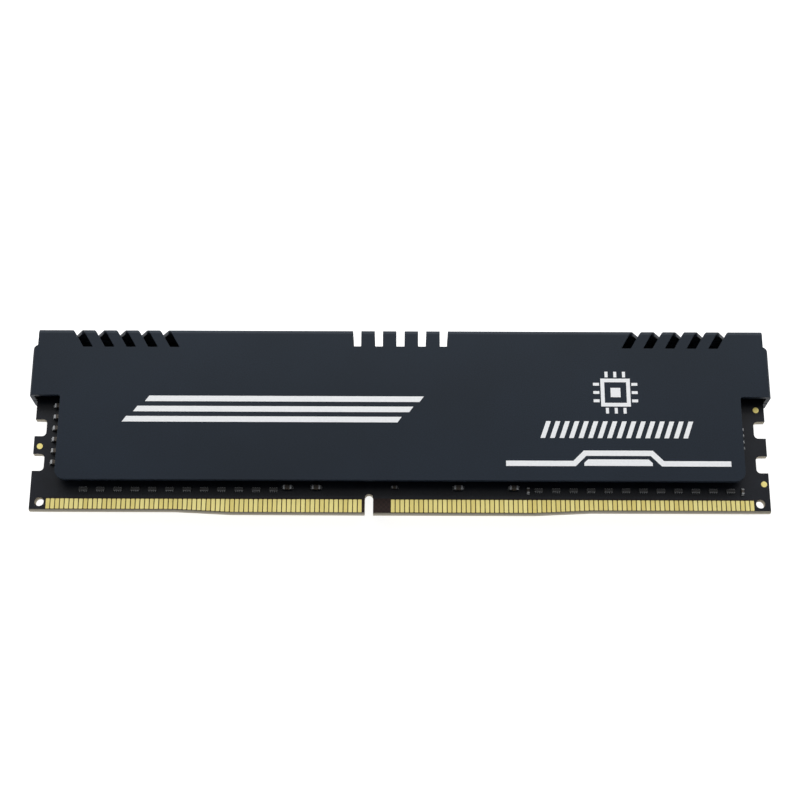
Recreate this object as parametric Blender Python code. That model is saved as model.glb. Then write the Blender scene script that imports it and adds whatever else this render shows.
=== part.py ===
"""A desktop memory module: a circuit board with memory chips on both faces, between two folded
aluminium plates that spread their heat. It lies on its back plate, contacts towards -Y.

Inside the "module" empty, X runs along the board, Y is the height above the contact edge and Z is
the distance from the board's middle plane. The "back_side" empty is turned half a turn about Y, so
both faces are described in the same way.
"""

import math

import bmesh
import bpy

MM = 0.001

# Circuit board
BOARD_WIDTH = 133.35 * MM
BOARD_HEIGHT = 31.25 * MM
BOARD_THICKNESS = 1.4 * MM
OUTER_EDGE_RISE = 0.5 * MM      # the contact edge is this much higher towards the ends
RAMP_START_LEFT = 30.175 * MM   # where the contact edge starts to rise, from the middle
RAMP_START_RIGHT = 24.225 * MM
RAMP_LENGTH = 10.2 * MM
EDGE_CHAMFER = 0.25 * MM
KEY_OFFSET = 5.575 * MM         # the key notch is left of the middle
KEY_WIDTH = 1.5 * MM
KEY_HEIGHT = 3.75 * MM
LATCH_NOTCH_HEIGHTS = (9.5 * MM, 16.1 * MM)
LATCH_NOTCH_SPAN = 3.2 * MM
LATCH_NOTCH_DEPTH = 2.1 * MM
LATCH_NOTCH_RADIUS = 0.75 * MM
TOOLING_HOLE_RADIUS = 0.8 * MM
TOOLING_HOLE_INSET = 1.8 * MM
TOOLING_HOLE_HEIGHT = 2.1 * MM
HOLE_SEGMENTS = 24

# Gold contacts
CONTACT_PITCH = 0.85 * MM
CONTACT_WIDTH = 0.6 * MM
CONTACT_TOP = 2.7 * MM
CONTACT_FOOT_GAP = 0.05 * MM    # from the board's edge chamfer to the contacts
CONTACT_THICKNESS = 0.04 * MM
CONTACT_GAP = 0.025 * MM        # between the board's face and the contacts
CONTACT_END_MARGIN = 3.35 * MM  # from the board's end to the first contact's middle
KEY_TO_NEAR_CONTACT = 1.65 * MM
KEY_TO_FAR_CONTACT = 4.3 * MM
TIE_STRIP_HEIGHT = 0.2 * MM

# Heat-spreader plates
SHEET = 0.8 * MM
BEND_INSIDE_RADIUS = 0.1 * MM
SEAM = 0.2 * MM                 # between the two plates, where their flanges meet
HEADROOM = 2.5 * MM             # from the board's top edge to the flange
TAB_CLEARANCE = 0.2 * MM        # from the board's ends to the end tabs
BARE_STRIP = 2.85 * MM          # board left bare between the contacts and the plate
WAIST_INSET = 4.675 * MM        # the plate's lower part ends this far inside the board's ends
WAIST_CORNER_RADIUS = 1.8 * MM
EAR_HEIGHT = 9.8 * MM
EAR_TOP_DROP = 3.2 * MM         # from the plate's top down to the ears
EAR_TAB_SLOPE = 0.7 * MM
EAR_CORNER_RADIUS = 0.4 * MM

# Slots in the plates' top edge
SLOTS_IN_GROUP = 5
SLOT_PITCH = 4.0 * MM
MIDDLE_SLOT_WIDTH = 1.5 * MM
MIDDLE_SLOT_DEPTH = 3.3 * MM
SLANTED_SLOT_WIDTH = 1.75 * MM  # measured along the edge; only the front plate has these
SLANTED_SLOT_DEPTH = 3.55 * MM
SLANT = math.radians(30)
SLANTED_GROUP_INSET = 6.4 * MM  # from the plate's end to the outermost slot, at the top edge

# Memory chips and the thermal pads on them
CHIPS_ON_A_SIDE = 8
CHIP_WIDTH = 7.5 * MM
CHIP_HEIGHT = 11.0 * MM
CHIP_BODY = 0.8 * MM
SOLDER_BALL_HEIGHT = 0.3 * MM
CHIP_END_MARGIN = 5.95 * MM     # from the plate's waist to the outermost chip
CHIP_MIDDLE_GAP = 15.5 * MM     # between the two middle chips
CHIP_LIFT = 4.3 * MM            # from the plate's lower edge to the chips
THERMAL_PAD = 0.7 * MM
PAD_MARGIN = 1.0 * MM
MOULD_CHAMFER = 0.1 * MM        # along the top edges of chips and pads
SEAT_GAP = 0.05 * MM            # between pieces that rest on each other

# Small parts on the front face
CONFIG_CHIP_SIZE = (2.0 * MM, 3.0 * MM, 0.75 * MM)
CONFIG_CHIP_LIFT = 3.0 * MM
ARRAYS_IN_ROW = 12
ARRAY_SIZE = (1.5 * MM, 0.8 * MM, 0.4 * MM)
ARRAY_ROW_LIFT = 1.75 * MM      # from the contacts' tops to the middle of the row
ARRAY_ROW_MARGINS = {"left": 4.9 * MM, "right": 2.4 * MM}  # from the plate's waist
ARRAY_ROW_INNER_ENDS = {"left": 22.8 * MM, "right": 25.0 * MM}
CAPACITORS_IN_COLUMN = 6
CAPACITOR_SIZE = (1.6 * MM, 0.8 * MM, 0.8 * MM)
CAPACITOR_COLUMN_GAP = 0.45 * MM   # from the plate's waist to the column's middle
CAPACITOR_COLUMN_LIFT = 3.85 * MM
CAPACITOR_COLUMN_DROP = 1.35 * MM
CERAMIC_CHAMFER = 0.06 * MM     # along the top edges of resistor arrays and capacitors

# Sizes that follow from the ones above
BEND_RADIUS = BEND_INSIDE_RADIUS + SHEET  # of the outer surface
BOARD_FACE = BOARD_THICKNESS / 2
BOARD_END = BOARD_WIDTH / 2
PLATE_INNER_FACE = BOARD_FACE + SOLDER_BALL_HEIGHT + CHIP_BODY + THERMAL_PAD + 2 * SEAT_GAP
PLATE_FACE = PLATE_INNER_FACE + SHEET
PLATE_BOTTOM = CONTACT_TOP + BARE_STRIP
PLATE_TOP = BOARD_HEIGHT + HEADROOM + SHEET
PLATE_WAIST = BOARD_END - WAIST_INSET
PLATE_END = BOARD_END + TAB_CLEARANCE + SHEET - BEND_RADIUS
EAR_TOP = PLATE_TOP - EAR_TOP_DROP
EAR_BOTTOM = EAR_TOP - EAR_HEIGHT
CHIP_BOTTOM = PLATE_BOTTOM + CHIP_LIFT

BEND_ARC = BEND_RADIUS * math.pi / 2
FLANGE_LENGTH = PLATE_FACE - SEAM / 2 - BEND_RADIUS
BEND_STEPS = 6
ARC_STEPS = 6
SAME_POINT = 1e-7               # points closer together than this are one point
SMOOTH_UP_TO = math.radians(35)


def material(name, colour, roughness, metallic=0.0):
    """A Principled material in one colour."""
    made = bpy.data.materials.new(name)
    made.use_nodes = True
    shader = made.node_tree.nodes["Principled BSDF"]
    shader.inputs["Base Color"].default_value = (*colour, 1.0)
    shader.inputs["Roughness"].default_value = roughness
    shader.inputs["Metallic"].default_value = metallic
    return made


def empty(name, parent=None, location=(0, 0, 0), turn=0.0):
    """An empty that carries pieces, turned about Y."""
    made = bpy.data.objects.new(name, None)
    bpy.context.collection.objects.link(made)
    made.parent = parent
    made.location = location
    made.rotation_euler = (0, turn, 0)
    return made


def piece(name, mesh, finish, parent, location=(0, 0, 0)):
    """A named object for one physical piece."""
    made = bpy.data.objects.new(name, mesh)
    bpy.context.collection.objects.link(made)
    if not mesh.materials:
        mesh.materials.append(finish)
    made.parent = parent
    made.location = location
    return made


def finish_mesh(bm, name):
    """Turns a bmesh into a mesh whose faces point outwards."""
    bmesh.ops.recalc_face_normals(bm, faces=bm.faces[:])
    mesh = bpy.data.meshes.new(name)
    bm.to_mesh(mesh)
    bm.free()
    return mesh


def arc(centre_x, centre_y, radius, start, end):
    """Points along an arc, from the start angle to the end angle in degrees."""
    angles = [math.radians(start + (end - start) * i / ARC_STEPS) for i in range(ARC_STEPS + 1)]
    return [(centre_x + radius * math.cos(a), centre_y + radius * math.sin(a)) for a in angles]


def mirrored(points):
    """The same points on the other side of the middle, in the opposite order."""
    return [(-x, y) for x, y in reversed(points)]


def extruded(outline, low, high):
    """A bmesh of the closed outline, extruded along Z from low to high."""
    bm = bmesh.new()
    face = bm.faces.new([bm.verts.new((x, y, low)) for x, y in outline])
    grown = bmesh.ops.extrude_face_region(bm, geom=[face])
    risen = [v for v in grown["geom"] if isinstance(v, bmesh.types.BMVert)]
    bmesh.ops.translate(bm, verts=risen, vec=(0, 0, high - low))
    return bm


def block_mesh(name, size, base, chamfer):
    """A small moulded block, centred on X and Y and standing on Z = base."""
    bm = bmesh.new()
    bmesh.ops.create_cube(bm, size=1.0)
    bmesh.ops.scale(bm, verts=bm.verts[:], vec=size)
    bmesh.ops.translate(bm, verts=bm.verts[:], vec=(0, 0, base + size[2] / 2))
    top = [e for e in bm.edges if all(v.co.z > base + size[2] / 2 for v in e.verts)]
    bmesh.ops.bevel(bm, geom=top, offset=chamfer, segments=1, profile=0.5,
                    affect="EDGES", material=-1)
    return finish_mesh(bm, name)


def contact_edge(x):
    """Height of the board's contact edge at x."""
    start = RAMP_START_LEFT if x < 0 else RAMP_START_RIGHT
    rise = (abs(x) - start) / RAMP_LENGTH
    return OUTER_EDGE_RISE * min(max(rise, 0.0), 1.0)


def latch_notch(middle):
    """One notch in the right-hand end of the board, drawn upwards."""
    deep = BOARD_END - LATCH_NOTCH_DEPTH
    low, high = middle - LATCH_NOTCH_SPAN / 2, middle + LATCH_NOTCH_SPAN / 2
    corner = LATCH_NOTCH_RADIUS
    return [
        (BOARD_END, low),
        *arc(deep + corner, low + corner, corner, 270, 180),
        *arc(deep + corner, high - corner, corner, 180, 90),
        (BOARD_END, high),
    ]


def board_outline():
    """The board's outline, anticlockwise from its lower left corner."""
    key = -KEY_OFFSET
    key_centre_height = KEY_HEIGHT - KEY_WIDTH / 2
    right_end = [p for height in LATCH_NOTCH_HEIGHTS for p in latch_notch(height)]
    right_end.append((BOARD_END, BOARD_HEIGHT))
    return [
        (-BOARD_END, OUTER_EDGE_RISE),
        (-RAMP_START_LEFT - RAMP_LENGTH, OUTER_EDGE_RISE),
        (-RAMP_START_LEFT, 0),
        (key - KEY_WIDTH / 2, 0),
        *arc(key, key_centre_height, KEY_WIDTH / 2, 180, 0),
        (key + KEY_WIDTH / 2, 0),
        (RAMP_START_RIGHT, 0),
        (RAMP_START_RIGHT + RAMP_LENGTH, OUTER_EDGE_RISE),
        (BOARD_END, OUTER_EDGE_RISE),
        *right_end,
        *mirrored(right_end),
    ]


def board_mesh():
    """The board, with the chamfer that leads its contact edge into a socket."""
    bm = extruded(board_outline(), -BOARD_FACE, BOARD_FACE)
    edge_top = OUTER_EDGE_RISE + SAME_POINT
    leading = [
        e for e in bm.edges
        if all(v.co.y < edge_top for v in e.verts) and e.verts[0].co.z == e.verts[1].co.z
    ]
    bmesh.ops.bevel(bm, geom=leading, offset=EDGE_CHAMFER, segments=1, profile=0.5,
                    affect="EDGES", material=-1)
    return finish_mesh(bm, "circuit_board")


def drill(board, x, y, module):
    """Cuts a tooling hole through the board."""
    bm = bmesh.new()
    through = 3 * BOARD_THICKNESS
    bmesh.ops.create_cone(bm, cap_ends=True, segments=HOLE_SEGMENTS, radius1=TOOLING_HOLE_RADIUS,
                          radius2=TOOLING_HOLE_RADIUS, depth=through)
    cutter = piece("tooling_hole_cutter", finish_mesh(bm, "tooling_hole"), None, module, (x, y, 0))
    cutter.hide_render = True
    cutter.display_type = "WIRE"
    cut = board.modifiers.new("tooling_hole", "BOOLEAN")
    cut.operation = "DIFFERENCE"
    cut.solver = "EXACT"
    cut.object = cutter


def contact_columns(start, end):
    """Middles of the contacts that fit from start to end, counted from the board's end."""
    count = int(abs(end - start) / CONTACT_PITCH + 1.001)
    step = math.copysign(CONTACT_PITCH, end - start)
    return sorted(start + step * i for i in range(count))


def contact_comb(columns):
    """Outline of one row of contacts, joined along their tops by a tie strip."""
    half = CONTACT_WIDTH / 2
    teeth = []
    for x in columns:
        foot = contact_edge(x) + EDGE_CHAMFER + CONTACT_FOOT_GAP
        teeth += [(x - half, CONTACT_TOP), (x - half, foot), (x + half, foot), (x + half, CONTACT_TOP)]
    strip_top = CONTACT_TOP + TIE_STRIP_HEIGHT
    # The first and last corners would lie on the straight ends of the strip.
    return [(columns[-1] + half, strip_top), (columns[0] - half, strip_top), *teeth[1:-1]]


def add_contacts(module, finish):
    """The four rows of contacts: two on each face, on either side of the key notch."""
    end = BOARD_END - CONTACT_END_MARGIN
    rows = {
        "left": contact_columns(-end, -KEY_OFFSET - KEY_TO_NEAR_CONTACT),
        "right": contact_columns(end, -KEY_OFFSET + KEY_TO_FAR_CONTACT),
    }
    low = BOARD_FACE + CONTACT_GAP
    for side, sign in (("front", 1), ("back", -1)):
        for hand, columns in rows.items():
            name = f"contacts_{side}_{hand}"
            levels = sorted((sign * low, sign * (low + CONTACT_THICKNESS)))
            bm = extruded(contact_comb(columns), *levels)
            piece(name, finish_mesh(bm, name), finish, module)


def slot_outline(middle, width, depth, lean, edge):
    """One slot in the blank's free edge, drawn from right to left. It leans outwards by lean."""
    bottom = PLATE_TOP - depth
    foot = middle - math.tan(lean) * (depth - BEND_RADIUS + BEND_ARC / 2)
    head = foot + math.tan(lean) * (edge - bottom)
    half = width / 2
    return [(head + half, edge), (foot + half, bottom), (foot - half, bottom), (head - half, edge)]


def blank_outline(slanted_slots):
    """A plate before folding, anticlockwise. X and Y are distances along its outer surface."""
    edge = PLATE_TOP - BEND_RADIUS + BEND_ARC + FLANGE_LENGTH
    tab = PLATE_END + BEND_ARC + FLANGE_LENGTH
    corner, ear_corner = WAIST_CORNER_RADIUS, EAR_CORNER_RADIUS
    right = [
        *arc(PLATE_WAIST - corner, PLATE_BOTTOM + corner, corner, 270, 360),
        *arc(PLATE_WAIST + ear_corner, EAR_BOTTOM - ear_corner, ear_corner, 180, 90),
        (tab, EAR_BOTTOM),
        (tab, EAR_TOP - EAR_TAB_SLOPE),
        (PLATE_END + BEND_ARC, EAR_TOP - EAR_TAB_SLOPE),
        (PLATE_END, EAR_TOP),
        (PLATE_END, edge),
    ]
    outermost = PLATE_END - SLANTED_GROUP_INSET
    for i in range(SLOTS_IN_GROUP if slanted_slots else 0):
        middle = outermost - SLANTED_SLOT_WIDTH / 2 - SLOT_PITCH * i
        right += slot_outline(middle, SLANTED_SLOT_WIDTH, SLANTED_SLOT_DEPTH, SLANT, edge)
    middle_slots = []
    for i in range(SLOTS_IN_GROUP):
        middle = SLOT_PITCH * ((SLOTS_IN_GROUP - 1) / 2 - i)
        middle_slots += slot_outline(middle, MIDDLE_SLOT_WIDTH, MIDDLE_SLOT_DEPTH, 0.0, edge)
    return [*right, *middle_slots, *mirrored(right)]


def fold(distance, start, depth):
    """Where a point of the blank goes when the sheet is folded along start.

    Gives its distance along the face and how far it has turned inwards. Depth is measured from
    the outer surface.
    """
    past = distance - start
    if past <= 0:
        return distance, depth
    if past >= BEND_ARC:
        return start + BEND_RADIUS - depth, BEND_RADIUS + past - BEND_ARC
    angle = past / BEND_RADIUS
    inner = BEND_RADIUS - depth
    return start + inner * math.sin(angle), BEND_RADIUS - inner * math.cos(angle)


def plate_mesh(name, slanted_slots):
    """A folded plate, its outer face at Z = PLATE_FACE."""
    bm = extruded(blank_outline(slanted_slots), -SHEET, 0)
    top_fold = PLATE_TOP - BEND_RADIUS
    stations = [BEND_ARC * i / BEND_STEPS for i in range(BEND_STEPS + 1)]
    for station in stations:
        bmesh.ops.bisect_plane(bm, geom=[*bm.verts, *bm.edges, *bm.faces], dist=SAME_POINT,
                               plane_co=(0, top_fold + station, 0), plane_no=(0, 1, 0))
    for station in stations[1:]:
        for hand in (-1, 1):
            bmesh.ops.bisect_plane(bm, geom=[*bm.verts, *bm.edges, *bm.faces], dist=SAME_POINT,
                                   plane_co=(hand * (PLATE_END + station), 0, 0), plane_no=(1, 0, 0))
    for vert in bm.verts:
        x, y, depth = vert.co.x, vert.co.y, -vert.co.z
        if y > top_fold:
            y, inwards = fold(y, top_fold, depth)
        else:
            along, inwards = fold(abs(x), PLATE_END, depth)
            x = math.copysign(along, x)
        vert.co = (x, y, PLATE_FACE - inwards)
    mesh = finish_mesh(bm, name)
    mesh.shade_smooth()
    mesh.set_sharp_from_angle(angle=SMOOTH_UP_TO)
    return mesh


def chip_columns():
    """Middles of the memory chips, left to right."""
    outer = PLATE_WAIST - CHIP_END_MARGIN - CHIP_WIDTH / 2
    inner = (CHIP_MIDDLE_GAP + CHIP_WIDTH) / 2
    half = CHIPS_ON_A_SIDE // 2
    right = [inner + (outer - inner) * i / (half - 1) for i in range(half)]
    return [-x for x in reversed(right)] + right


def add_chips(side, parent, mesh, finish):
    """The row of memory chips on one face."""
    for number, x in enumerate(chip_columns(), start=1):
        location = (x, CHIP_BOTTOM + CHIP_HEIGHT / 2, 0)
        piece(f"memory_chip_{side}_{number}", mesh, finish, parent, location)


def pad_mesh():
    """The thermal pad that covers one row of chips."""
    width = 2 * (chip_columns()[-1] + CHIP_WIDTH / 2 + PAD_MARGIN)
    size = (width, CHIP_HEIGHT + 2 * PAD_MARGIN, THERMAL_PAD)
    base = PLATE_INNER_FACE - SEAT_GAP - THERMAL_PAD
    return block_mesh("thermal_pad", size, base, MOULD_CHAMFER)


def add_small_parts(front, package, resistor, ceramic):
    """The configuration chip, the resistor arrays above the contacts and the end capacitors."""
    base = BOARD_FACE + SEAT_GAP
    mesh = block_mesh("configuration_chip", CONFIG_CHIP_SIZE, base, MOULD_CHAMFER)
    height = CHIP_BOTTOM + CHIP_HEIGHT + CONFIG_CHIP_LIFT
    piece("configuration_chip", mesh, package, front, (0, height, 0))

    mesh = block_mesh("resistor_array", ARRAY_SIZE, base, CERAMIC_CHAMFER)
    height = CONTACT_TOP + ARRAY_ROW_LIFT
    for hand, sign in (("left", -1), ("right", 1)):
        outer = PLATE_WAIST - ARRAY_ROW_MARGINS[hand]
        pitch = (outer - ARRAY_ROW_INNER_ENDS[hand]) / (ARRAYS_IN_ROW - 1)
        for i in range(ARRAYS_IN_ROW):
            x = sign * (outer - pitch * i)
            piece(f"resistor_array_{hand}_{i + 1}", mesh, resistor, front, (x, height, 0))

    mesh = block_mesh("end_capacitor", CAPACITOR_SIZE, base, CERAMIC_CHAMFER)
    lowest = PLATE_BOTTOM + CAPACITOR_COLUMN_LIFT
    highest = EAR_BOTTOM - CAPACITOR_COLUMN_DROP
    pitch = (highest - lowest) / (CAPACITORS_IN_COLUMN - 1)
    for i in range(CAPACITORS_IN_COLUMN):
        location = (-PLATE_WAIST - CAPACITOR_COLUMN_GAP, lowest + pitch * i, 0)
        piece(f"end_capacitor_{i + 1}", mesh, ceramic, front, location)


def build():
    """Clears the scene and makes the whole module."""
    for old in list(bpy.data.objects):
        bpy.data.objects.remove(old, do_unlink=True)

    laminate = material("black_solder_mask", (0.014, 0.014, 0.02), 0.35)
    gold = material("gold_plating", (0.72, 0.55, 0.17), 0.3, 1.0)
    anodised = material("black_anodised_aluminium", (0.03, 0.036, 0.045), 0.45, 0.6)
    epoxy = material("black_epoxy", (0.02, 0.02, 0.022), 0.55)
    silicone = material("grey_silicone", (0.22, 0.24, 0.26), 0.8)
    resistor = material("resistor_black", (0.03, 0.03, 0.035), 0.4)
    ceramic = material("capacitor_ceramic", (0.20, 0.13, 0.08), 0.5)

    module = empty("module", location=(0, -PLATE_TOP / 2, PLATE_FACE))
    front = empty("front_side", module)
    back = empty("back_side", module, turn=math.pi)

    board = piece("circuit_board", board_mesh(), laminate, module)
    for sign in (-1, 1):
        drill(board, sign * (BOARD_END - TOOLING_HOLE_INSET), TOOLING_HOLE_HEIGHT, module)
    add_contacts(module, gold)

    plates = {
        "front": plate_mesh("slotted_front_plate", slanted_slots=True),
        "back": plate_mesh("plain_back_plate", slanted_slots=False),
    }
    pad = pad_mesh()
    chip_size = (CHIP_WIDTH, CHIP_HEIGHT, CHIP_BODY)
    chip = block_mesh("memory_chip", chip_size, BOARD_FACE + SOLDER_BALL_HEIGHT, MOULD_CHAMFER)
    pad_height = CHIP_BOTTOM + CHIP_HEIGHT / 2
    for side, parent in (("front", front), ("back", back)):
        piece(f"{side}_plate", plates[side], anodised, parent)
        piece(f"{side}_thermal_pad", pad, silicone, parent, (0, pad_height, 0))
        add_chips(side, parent, chip, epoxy)
    add_small_parts(front, epoxy, resistor, ceramic)


build()
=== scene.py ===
# %% [markdown]
# # A desktop memory module
#
# The module is a sandwich: a black circuit board with gold contacts along its lower edge, memory
# chips on both faces, and a folded sheet of black anodised aluminium stuck over each row of chips.
# It lies on its back plate. The solid parts come ready-made from the frame, in metres. This lesson
# gives each one its real surface, cuts the crisp little radii that sheet metal and circuit boards
# have, and adds what is too small for the solids: separate contacts, solder, tracks and print.

# %% Load the solid parts
import math

import bmesh
import bpy
from mathutils import Matrix, Vector, noise


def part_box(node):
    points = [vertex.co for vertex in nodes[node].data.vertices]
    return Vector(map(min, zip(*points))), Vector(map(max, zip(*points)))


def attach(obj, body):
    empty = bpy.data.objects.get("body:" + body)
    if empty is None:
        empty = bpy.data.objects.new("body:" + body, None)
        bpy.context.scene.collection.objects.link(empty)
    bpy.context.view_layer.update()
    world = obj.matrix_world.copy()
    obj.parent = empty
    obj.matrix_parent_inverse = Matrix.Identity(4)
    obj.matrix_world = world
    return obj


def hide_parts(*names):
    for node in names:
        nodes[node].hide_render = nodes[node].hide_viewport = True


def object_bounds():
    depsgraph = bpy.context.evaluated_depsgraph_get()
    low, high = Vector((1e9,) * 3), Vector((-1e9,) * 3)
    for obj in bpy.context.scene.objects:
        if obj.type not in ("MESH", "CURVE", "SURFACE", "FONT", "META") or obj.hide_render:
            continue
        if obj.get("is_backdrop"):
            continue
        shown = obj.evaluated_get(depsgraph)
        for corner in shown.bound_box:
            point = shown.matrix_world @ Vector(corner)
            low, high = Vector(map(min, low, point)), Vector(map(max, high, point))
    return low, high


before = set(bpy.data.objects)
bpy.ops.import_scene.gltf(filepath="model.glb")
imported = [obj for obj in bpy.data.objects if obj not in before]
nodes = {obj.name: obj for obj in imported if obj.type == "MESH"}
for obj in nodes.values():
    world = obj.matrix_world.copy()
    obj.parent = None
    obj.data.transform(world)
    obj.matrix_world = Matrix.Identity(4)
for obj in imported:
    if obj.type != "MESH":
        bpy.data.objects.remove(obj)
cad_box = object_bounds()
print("solid parts:", len(nodes))

# %% [markdown]
# ## Where things are
#
# A circuit board is drawn from its contact edge, so every place below is given as x along the
# board, a height above that edge and a level above the board's middle plane. Two matrices carry
# those to the world: one for the front face, and one for the back face, turned half a turn about
# the upright axis. The same drawing then serves both faces.

# %% Places read from the solid parts
MM = 0.001
board_low, board_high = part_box("circuit_board")
plate_low, plate_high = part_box("front_plate")
EDGE_Y = board_low.y
MIDDLE_Z = (board_low.z + board_high.z) / 2
BOARD_FACE = board_high.z - MIDDLE_Z
BOARD_END = board_high.x
PLATE_FACE = plate_high.z - MIDDLE_Z
FRONT = Matrix.Translation((0, EDGE_Y, MIDDLE_Z))
BACK = FRONT @ Matrix.Rotation(math.pi, 4, "Y")


def drawn_box(node, side):
    """A solid part's lowest and highest corner, in the drawing of its face."""
    corners = [side.inverted() @ v.co for v in nodes[node].data.vertices]
    return (Vector(min(c[i] for c in corners) for i in range(3)),
            Vector(max(c[i] for c in corners) for i in range(3)))


def places_of(boxes):
    """The middle of each box as a place on the board, not turned."""
    return [((low.x + high.x) / 2, (low.y + high.y) / 2, 0) for low, high in boxes]


print(f"board {2000 * BOARD_END:.2f} mm wide")
print(f"front plate's face {1000 * PLATE_FACE:.2f} mm above the board's middle")

# %% [markdown]
# ## The camera
#
# The module is seen from above and from the side of its contacts, tilted by 19.5 degrees from
# straight down. A long lens at arm's length keeps the two ends nearly parallel. The camera's
# place is given from the middle of the contact edge.

# %% Camera
CAMERA_PLACE = Vector((-0.05, -79.08, 285.04)) * MM
CAMERA_TILT = math.radians(19.52)
CAMERA_ROLL = math.radians(0.2)
LENS_MM = 73.86
camera_data = bpy.data.cameras.new("camera")
camera_data.lens = LENS_MM
camera_data.clip_start = 0.005
camera_data.clip_end = 10.0
camera = bpy.data.objects.new("camera", camera_data)
bpy.context.scene.collection.objects.link(camera)
camera.location = FRONT @ CAMERA_PLACE
aim = Matrix.Rotation(CAMERA_TILT, 4, "X") @ Matrix.Rotation(CAMERA_ROLL, 4, "Z")
camera.rotation_euler = aim.to_euler()
bpy.context.scene.camera = camera
print("camera at", [round(1000 * v, 1) for v in camera.location], "mm")

# %% [markdown]
# ## Colours and nodes
#
# A colour picked on a screen is an sRGB hex value, and the shader wants linear light, so one
# function turns one into the other. A second function adds any node with its settings and its
# links, which keeps each material down to the few lines that describe it. Every pattern reads
# Object coordinates, in metres, so a scale is one over a real size.

# %% Helpers for materials
def linear(code):
    """A colour as linear RGBA, from its sRGB hex code."""
    parts = [int(code[i:i + 2], 16) / 255 for i in (1, 3, 5)]
    return (*[p / 12.92 if p <= 0.04045 else ((p + 0.055) / 1.055) ** 2.4 for p in parts], 1.0)


def add_node(owner, kind, inputs=None, stops=None, **settings):
    """Adds a node. Inputs are values or the outputs that feed it; stops are a ramp's colours."""
    made = owner.node_tree.nodes.new(kind)
    for name, value in settings.items():
        setattr(made, name, value)
    for name, value in (inputs or {}).items():
        if isinstance(value, bpy.types.NodeSocket):
            owner.node_tree.links.new(value, made.inputs[name])
        else:
            made.inputs[name].default_value = value
    for i, (position, code) in enumerate(stops or []):
        if i >= 2:
            made.color_ramp.elements.new(position)
        made.color_ramp.elements[i].position = position
        made.color_ramp.elements[i].color = linear(code)
    return made


def new_material(name, **values):
    """A material with its shader's own sockets set, and its Object coordinates."""
    material = bpy.data.materials.new(name)
    material.use_nodes = True
    shader = material.node_tree.nodes["Principled BSDF"]
    for socket, value in values.items():
        shader.inputs[socket.replace("_", " ")].default_value = value
    place = add_node(material, "ShaderNodeTexCoord").outputs["Object"]
    return material, place


def feed(material, **sources):
    """Links outputs into the material's shader."""
    shader = material.node_tree.nodes["Principled BSDF"]
    for socket, source in sources.items():
        material.node_tree.links.new(source, shader.inputs[socket.replace("_", " ")])
    print("finish:", material.name)


# %% [markdown]
# ## Black anodised aluminium
#
# The plates are pressed from 0.8 mm aluminium, blasted with fine beads and dyed black in the
# anodising bath. Blasting leaves dimples well under 0.1 mm across that scatter light, so the
# sheet looks soft and slightly blue-grey, never glossy. The dye takes a little unevenly, in
# clouds a couple of centimetres across. The oxide is glassy and the dye hides the metal, so the
# shader is not metallic. The dimples are too fine to show, so they are drawn 0.2 mm across.

# %% Anodised aluminium
BLAST_DIMPLE = 0.2 * MM
DYE_CLOUD = 22 * MM
anodised, place = new_material("bead_blasted_anodised_aluminium", Specular_IOR_Level=0.25,
                               Specular_Tint=linear("#f0faff"))
clouds = add_node(anodised, "ShaderNodeTexNoise",
                  {"Vector": place, "Scale": 1 / DYE_CLOUD, "Detail": 3.0}).outputs["Fac"]
beads = add_node(anodised, "ShaderNodeTexNoise",
                 {"Vector": place, "Scale": 1 / BLAST_DIMPLE, "Detail": 2.0}).outputs["Fac"]
dye = add_node(anodised, "ShaderNodeValToRGB", {"Fac": clouds},
               stops=[(0.35, "#141d2a"), (0.65, "#182230")])
speckle = add_node(anodised, "ShaderNodeValToRGB", {"Fac": beads},
                   stops=[(0.3, "#c8c8c8"), (0.7, "#ffffff")])
surface = add_node(anodised, "ShaderNodeMix",
                   {0: 1.0, 6: dye.outputs["Color"], 7: speckle.outputs["Color"]},
                   data_type="RGBA", blend_type="MULTIPLY")
rough = add_node(anodised, "ShaderNodeMapRange", {"Value": beads, "To Min": 0.44, "To Max": 0.58})
dimples = add_node(anodised, "ShaderNodeBump",
                   {"Height": beads, "Strength": 0.15, "Distance": 0.01 * MM})
feed(anodised, Base_Color=surface.outputs[2], Roughness=rough.outputs["Result"],
     Normal=dimples.outputs["Normal"])

# %% [markdown]
# ## The plates
#
# Both plates are cut and folded alike, but only the front one has the slanted slots. The solid
# parts have knife-sharp edges, which real sheet never has: the punch rolls one side over and
# blasting rounds the rest. The radii could be part of the solids, but physics has no use for
# them. So each plate is copied, its loose triangles are merged into whole faces, and a Bevel
# modifier rounds every sheared edge by a tenth of a millimetre. Those tiny radii catch the light
# along the slots. A Weighted Normal modifier keeps the big faces flat where they meet the bends.

# %% Helpers for pieces
def keep(bm, name, materials, side=None, stands_for=()):
    """Turns a bmesh into a finished piece that rides on the module."""
    if side is not None:
        bmesh.ops.transform(bm, matrix=side, verts=bm.verts[:])
    mesh = bpy.data.meshes.new(name)
    bm.to_mesh(mesh)
    bm.free()
    for material in materials:
        mesh.materials.append(material)
    made = bpy.data.objects.new(name, mesh)
    bpy.context.scene.collection.objects.link(made)
    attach(made, "root")
    if stands_for:
        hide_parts(*stands_for)
    print(name, len(mesh.polygons), "faces")
    return made


def merged_copy(node):
    """A copy of a solid part whose triangles are joined into whole flat faces."""
    bm = bmesh.new()
    bm.from_mesh(nodes[node].data)
    bmesh.ops.remove_doubles(bm, verts=bm.verts[:], dist=1e-6)
    bmesh.ops.dissolve_limit(bm, angle_limit=math.radians(1), verts=bm.verts[:], edges=bm.edges[:])
    return bm


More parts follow.
